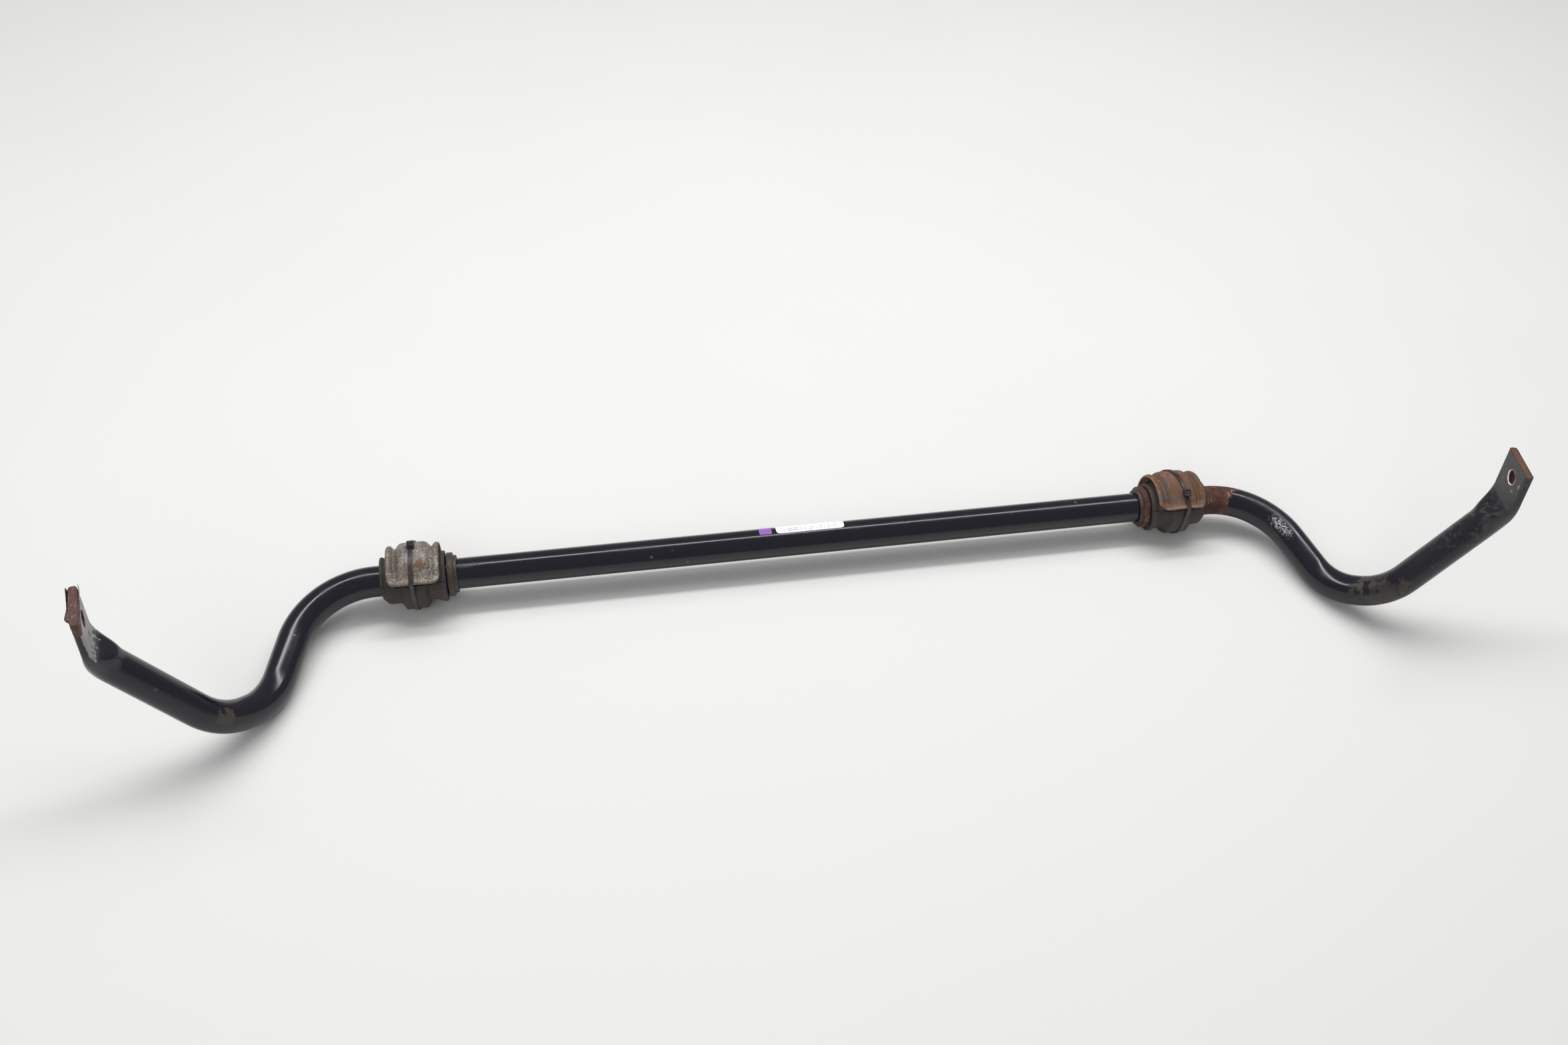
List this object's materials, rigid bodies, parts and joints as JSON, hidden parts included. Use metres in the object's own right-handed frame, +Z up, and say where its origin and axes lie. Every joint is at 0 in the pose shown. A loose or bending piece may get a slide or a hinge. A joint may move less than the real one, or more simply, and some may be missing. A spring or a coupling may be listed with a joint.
{
  "type": "sway bar",
  "caption": "Bent tubular sway bar with flattened link eyes, stop rings, and a split rubber bush in a saddle clamp on each side.",
  "frame": {"origin": "on the ground under the middle of the bar, midway between its front and its back", "axes": "+X along the straight run towards the right eye, +Y away from the arms, +Z up as the bar lies on the ground"},
  "size_m": [1.1062, 0.1838, 0.1794],
  "materials": {
    "black_paint": "gloss black, chipped, rusted near the right mount",
    "dark_steel": "dark steel with rust on the flange",
    "rubber": "charcoal rubber under brown dust",
    "insert_steel": "plain steel, moulded into the rubber",
    "worn_zinc": "worn zinc plate with rust patches",
    "rusty_steel": "rust brown with grey patches",
    "black_nylon": "black nylon",
    "bright_steel": "bright steel",
    "white_label": "white film",
    "purple_patch": "purple film"
  },
  "bodies": {
    "bar": {"stabilizer_bar": "black_paint", "left_stop_ring": "dark_steel", "right_stop_ring": "dark_steel", "label": "white_label", "colour_patch": "purple_patch"},
    "left_mount": {"left_clamp": "worn_zinc", "left_bush_upper": "rubber", "left_bush_lower": "rubber", "left_insert_upper": "insert_steel", "left_insert_lower": "insert_steel", "left_tie": "black_nylon", "left_tie_barb": "bright_steel"},
    "right_mount": {"right_clamp": "rusty_steel", "right_bush_upper": "rubber", "right_bush_lower": "rubber", "right_insert_upper": "insert_steel", "right_insert_lower": "insert_steel", "right_tie": "black_nylon", "right_tie_barb": "bright_steel"}
  },
  "joints": [
    {"name": "left_mount_turn", "type": "hinge", "parent": "bar", "child": "left_mount", "pos_m": [-0.3355, 0.06039, 0.0273], "axis": [1, 0, 0], "range_deg": [-30, 30]},
    {"name": "right_mount_turn", "type": "hinge", "parent": "bar", "child": "right_mount", "pos_m": [0.3355, 0.06039, 0.0273], "axis": [1, 0, 0], "range_deg": [-30, 30]}
  ]
}
